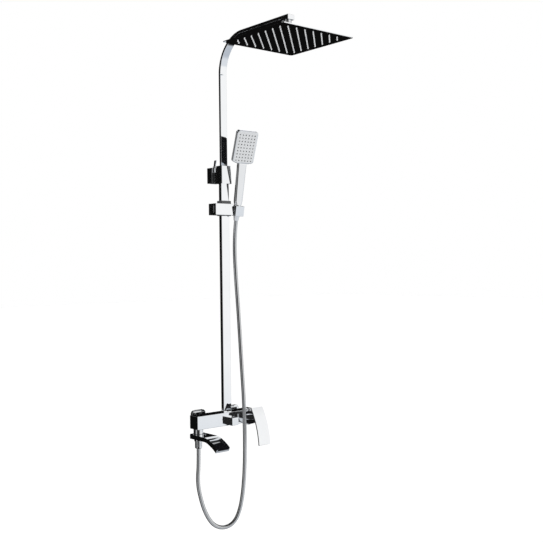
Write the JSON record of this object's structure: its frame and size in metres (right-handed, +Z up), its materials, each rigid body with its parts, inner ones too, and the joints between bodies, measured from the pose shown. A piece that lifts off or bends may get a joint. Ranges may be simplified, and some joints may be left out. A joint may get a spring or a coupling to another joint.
{
  "type": "exposed rainfall shower column",
  "caption": "Wall mounted shower column with a bar mixer, flat pivoting spout, square overhead rain head on a telescoping arm, and a hand shower with hose on a slider.",
  "frame": {"origin": "on the wall plane, midway between the two water inlets, at the height of the mixer bar's axis", "axes": "+X to the right seen from the room, +Y into the wall, +Z up"},
  "size_m": [0.3, 0.591, 1.7178],
  "materials": {
    "chrome": "polished chrome plate",
    "brass": "machined",
    "steel": "satin stainless steel",
    "seal": "matte black",
    "nozzle": "matte grey silicone",
    "polymer": "moulded grey plastic",
    "face": "light grey gloss",
    "index": "plain grey gloss",
    "hose": "steel spiral over a rubber tube"
  },
  "bodies": {
    "wall_unit": {"mixer_body": "chrome", "wall_unions": "brass", "flanges": "chrome", "union_nuts": "chrome", "inlet_washers": "seal", "check_valves": "polymer", "mixing_cartridge": "polymer", "cartridge_nut": "brass", "bonnet": "chrome", "diverter_cartridge": "brass", "diverter_collar": "chrome", "outlet_post": "chrome", "post_o_rings": "seal", "spout_ring": "chrome", "column_spigot": "brass", "lower_tube": "chrome", "riser_guide": "polymer", "tube_sleeve": "chrome", "sleeve_grub_screws": "steel", "wall_plate": "steel", "wall_box": "chrome", "bracket_arm": "chrome", "arm_screw": "chrome", "hose_nut": "chrome", "outlet_washer": "seal", "shower_hose": "hose"},
    "riser": {"riser_arm": "chrome", "riser_plug": "brass", "riser_seal": "seal", "arm_end_block": "chrome", "ball_stem": "chrome"},
    "head_swivel": {"ball_seat": "polymer"},
    "rain_head": {"head_shell": "chrome", "collar_nut": "chrome", "head_face": "chrome", "head_nozzles": "nozzle"},
    "diverter": {"diverter_knob": "chrome", "diverter_spindle": "brass"},
    "turret": {"cartridge_turret": "polymer", "stem_pin": "steel"},
    "lever": {"lever_handle": "chrome", "cartridge_stem": "steel", "lever_grub_screw": "steel", "index_cap": "index"},
    "spout": {"spout_body": "chrome", "spout_grille": "polymer"},
    "slider": {"slider_block": "chrome", "slider_liner": "polymer", "brake_pad": "seal", "cradle_axle": "steel", "button_spring": "steel"},
    "button": {"release_button": "chrome"},
    "cradle": {"cradle": "chrome"},
    "handset": {"handset_shell": "chrome", "handset_face": "face", "handset_nozzles": "nozzle", "handset_washer": "seal", "hose_cone_nut": "chrome"},
    "lock": {"lock_lever": "chrome", "lock_screw": "steel"}
  },
  "joints": [
    {"name": "riser_height", "type": "slide", "parent": "wall_unit", "child": "riser", "axis": [0, 0, 1], "range_m": [-0.15, 0.15]},
    {"name": "head_turn", "type": "hinge", "parent": "riser", "child": "head_swivel", "pos_m": [0, -0.419, 1.288], "axis": [0, 0, 1], "continuous": true},
    {"name": "head_tilt", "type": "hinge", "parent": "head_swivel", "child": "rain_head", "pos_m": [0, -0.419, 1.288], "axis": [1, 0, 0], "range_deg": [-12, 12]},
    {"name": "diverter_turn", "type": "hinge", "parent": "wall_unit", "child": "diverter", "pos_m": [-0.023, -0.1, 0], "axis": [0, -1, 0], "range_deg": [-90, 90]},
    {"name": "lever_temperature", "type": "hinge", "parent": "wall_unit", "child": "turret", "pos_m": [0.075, -0.1, 0], "axis": [0, -1, 0], "range_deg": [-45, 45], "deforming": ["shower_hose"]},
    {"name": "lever_lift", "type": "hinge", "parent": "turret", "child": "lever", "pos_m": [0.075, -0.1, 0], "axis": [-1, 0, 0], "range_deg": [0, 20], "deforming": ["shower_hose"]},
    {"name": "spout_swing", "type": "hinge", "parent": "wall_unit", "child": "spout", "pos_m": [-0.122, -0.071, -0.05], "axis": [0, 0, 1], "range_deg": [-90, 90]},
    {"name": "slider_height", "type": "slide", "parent": "wall_unit", "child": "slider", "axis": [0, 0, 1], "range_m": [-0.5, 0.05], "deforming": ["shower_hose"]},
    {"name": "release_push", "type": "slide", "parent": "slider", "child": "button", "axis": [1, 0, 0], "range_m": [0, 0.004], "stiffness_N_per_m": 600, "springref_m": -0.002, "deforming": ["button_spring"]},
    {"name": "cradle_tilt", "type": "hinge", "parent": "slider", "child": "cradle", "pos_m": [0.0445, -0.09, 0.731], "axis": [1, 0, 0], "range_deg": [-4, 20], "deforming": ["shower_hose"]},
    {"name": "handset_lift", "type": "slide", "parent": "cradle", "child": "handset", "axis": [0, -0.1822, 0.9833], "range_m": [0, 0.06], "deforming": ["shower_hose"]},
    {"name": "lock_turn", "type": "hinge", "parent": "wall_unit", "child": "lock", "pos_m": [0, -0.018, 0.9], "axis": [0, 0, 1], "range_deg": [-90, 90]}
  ]
}
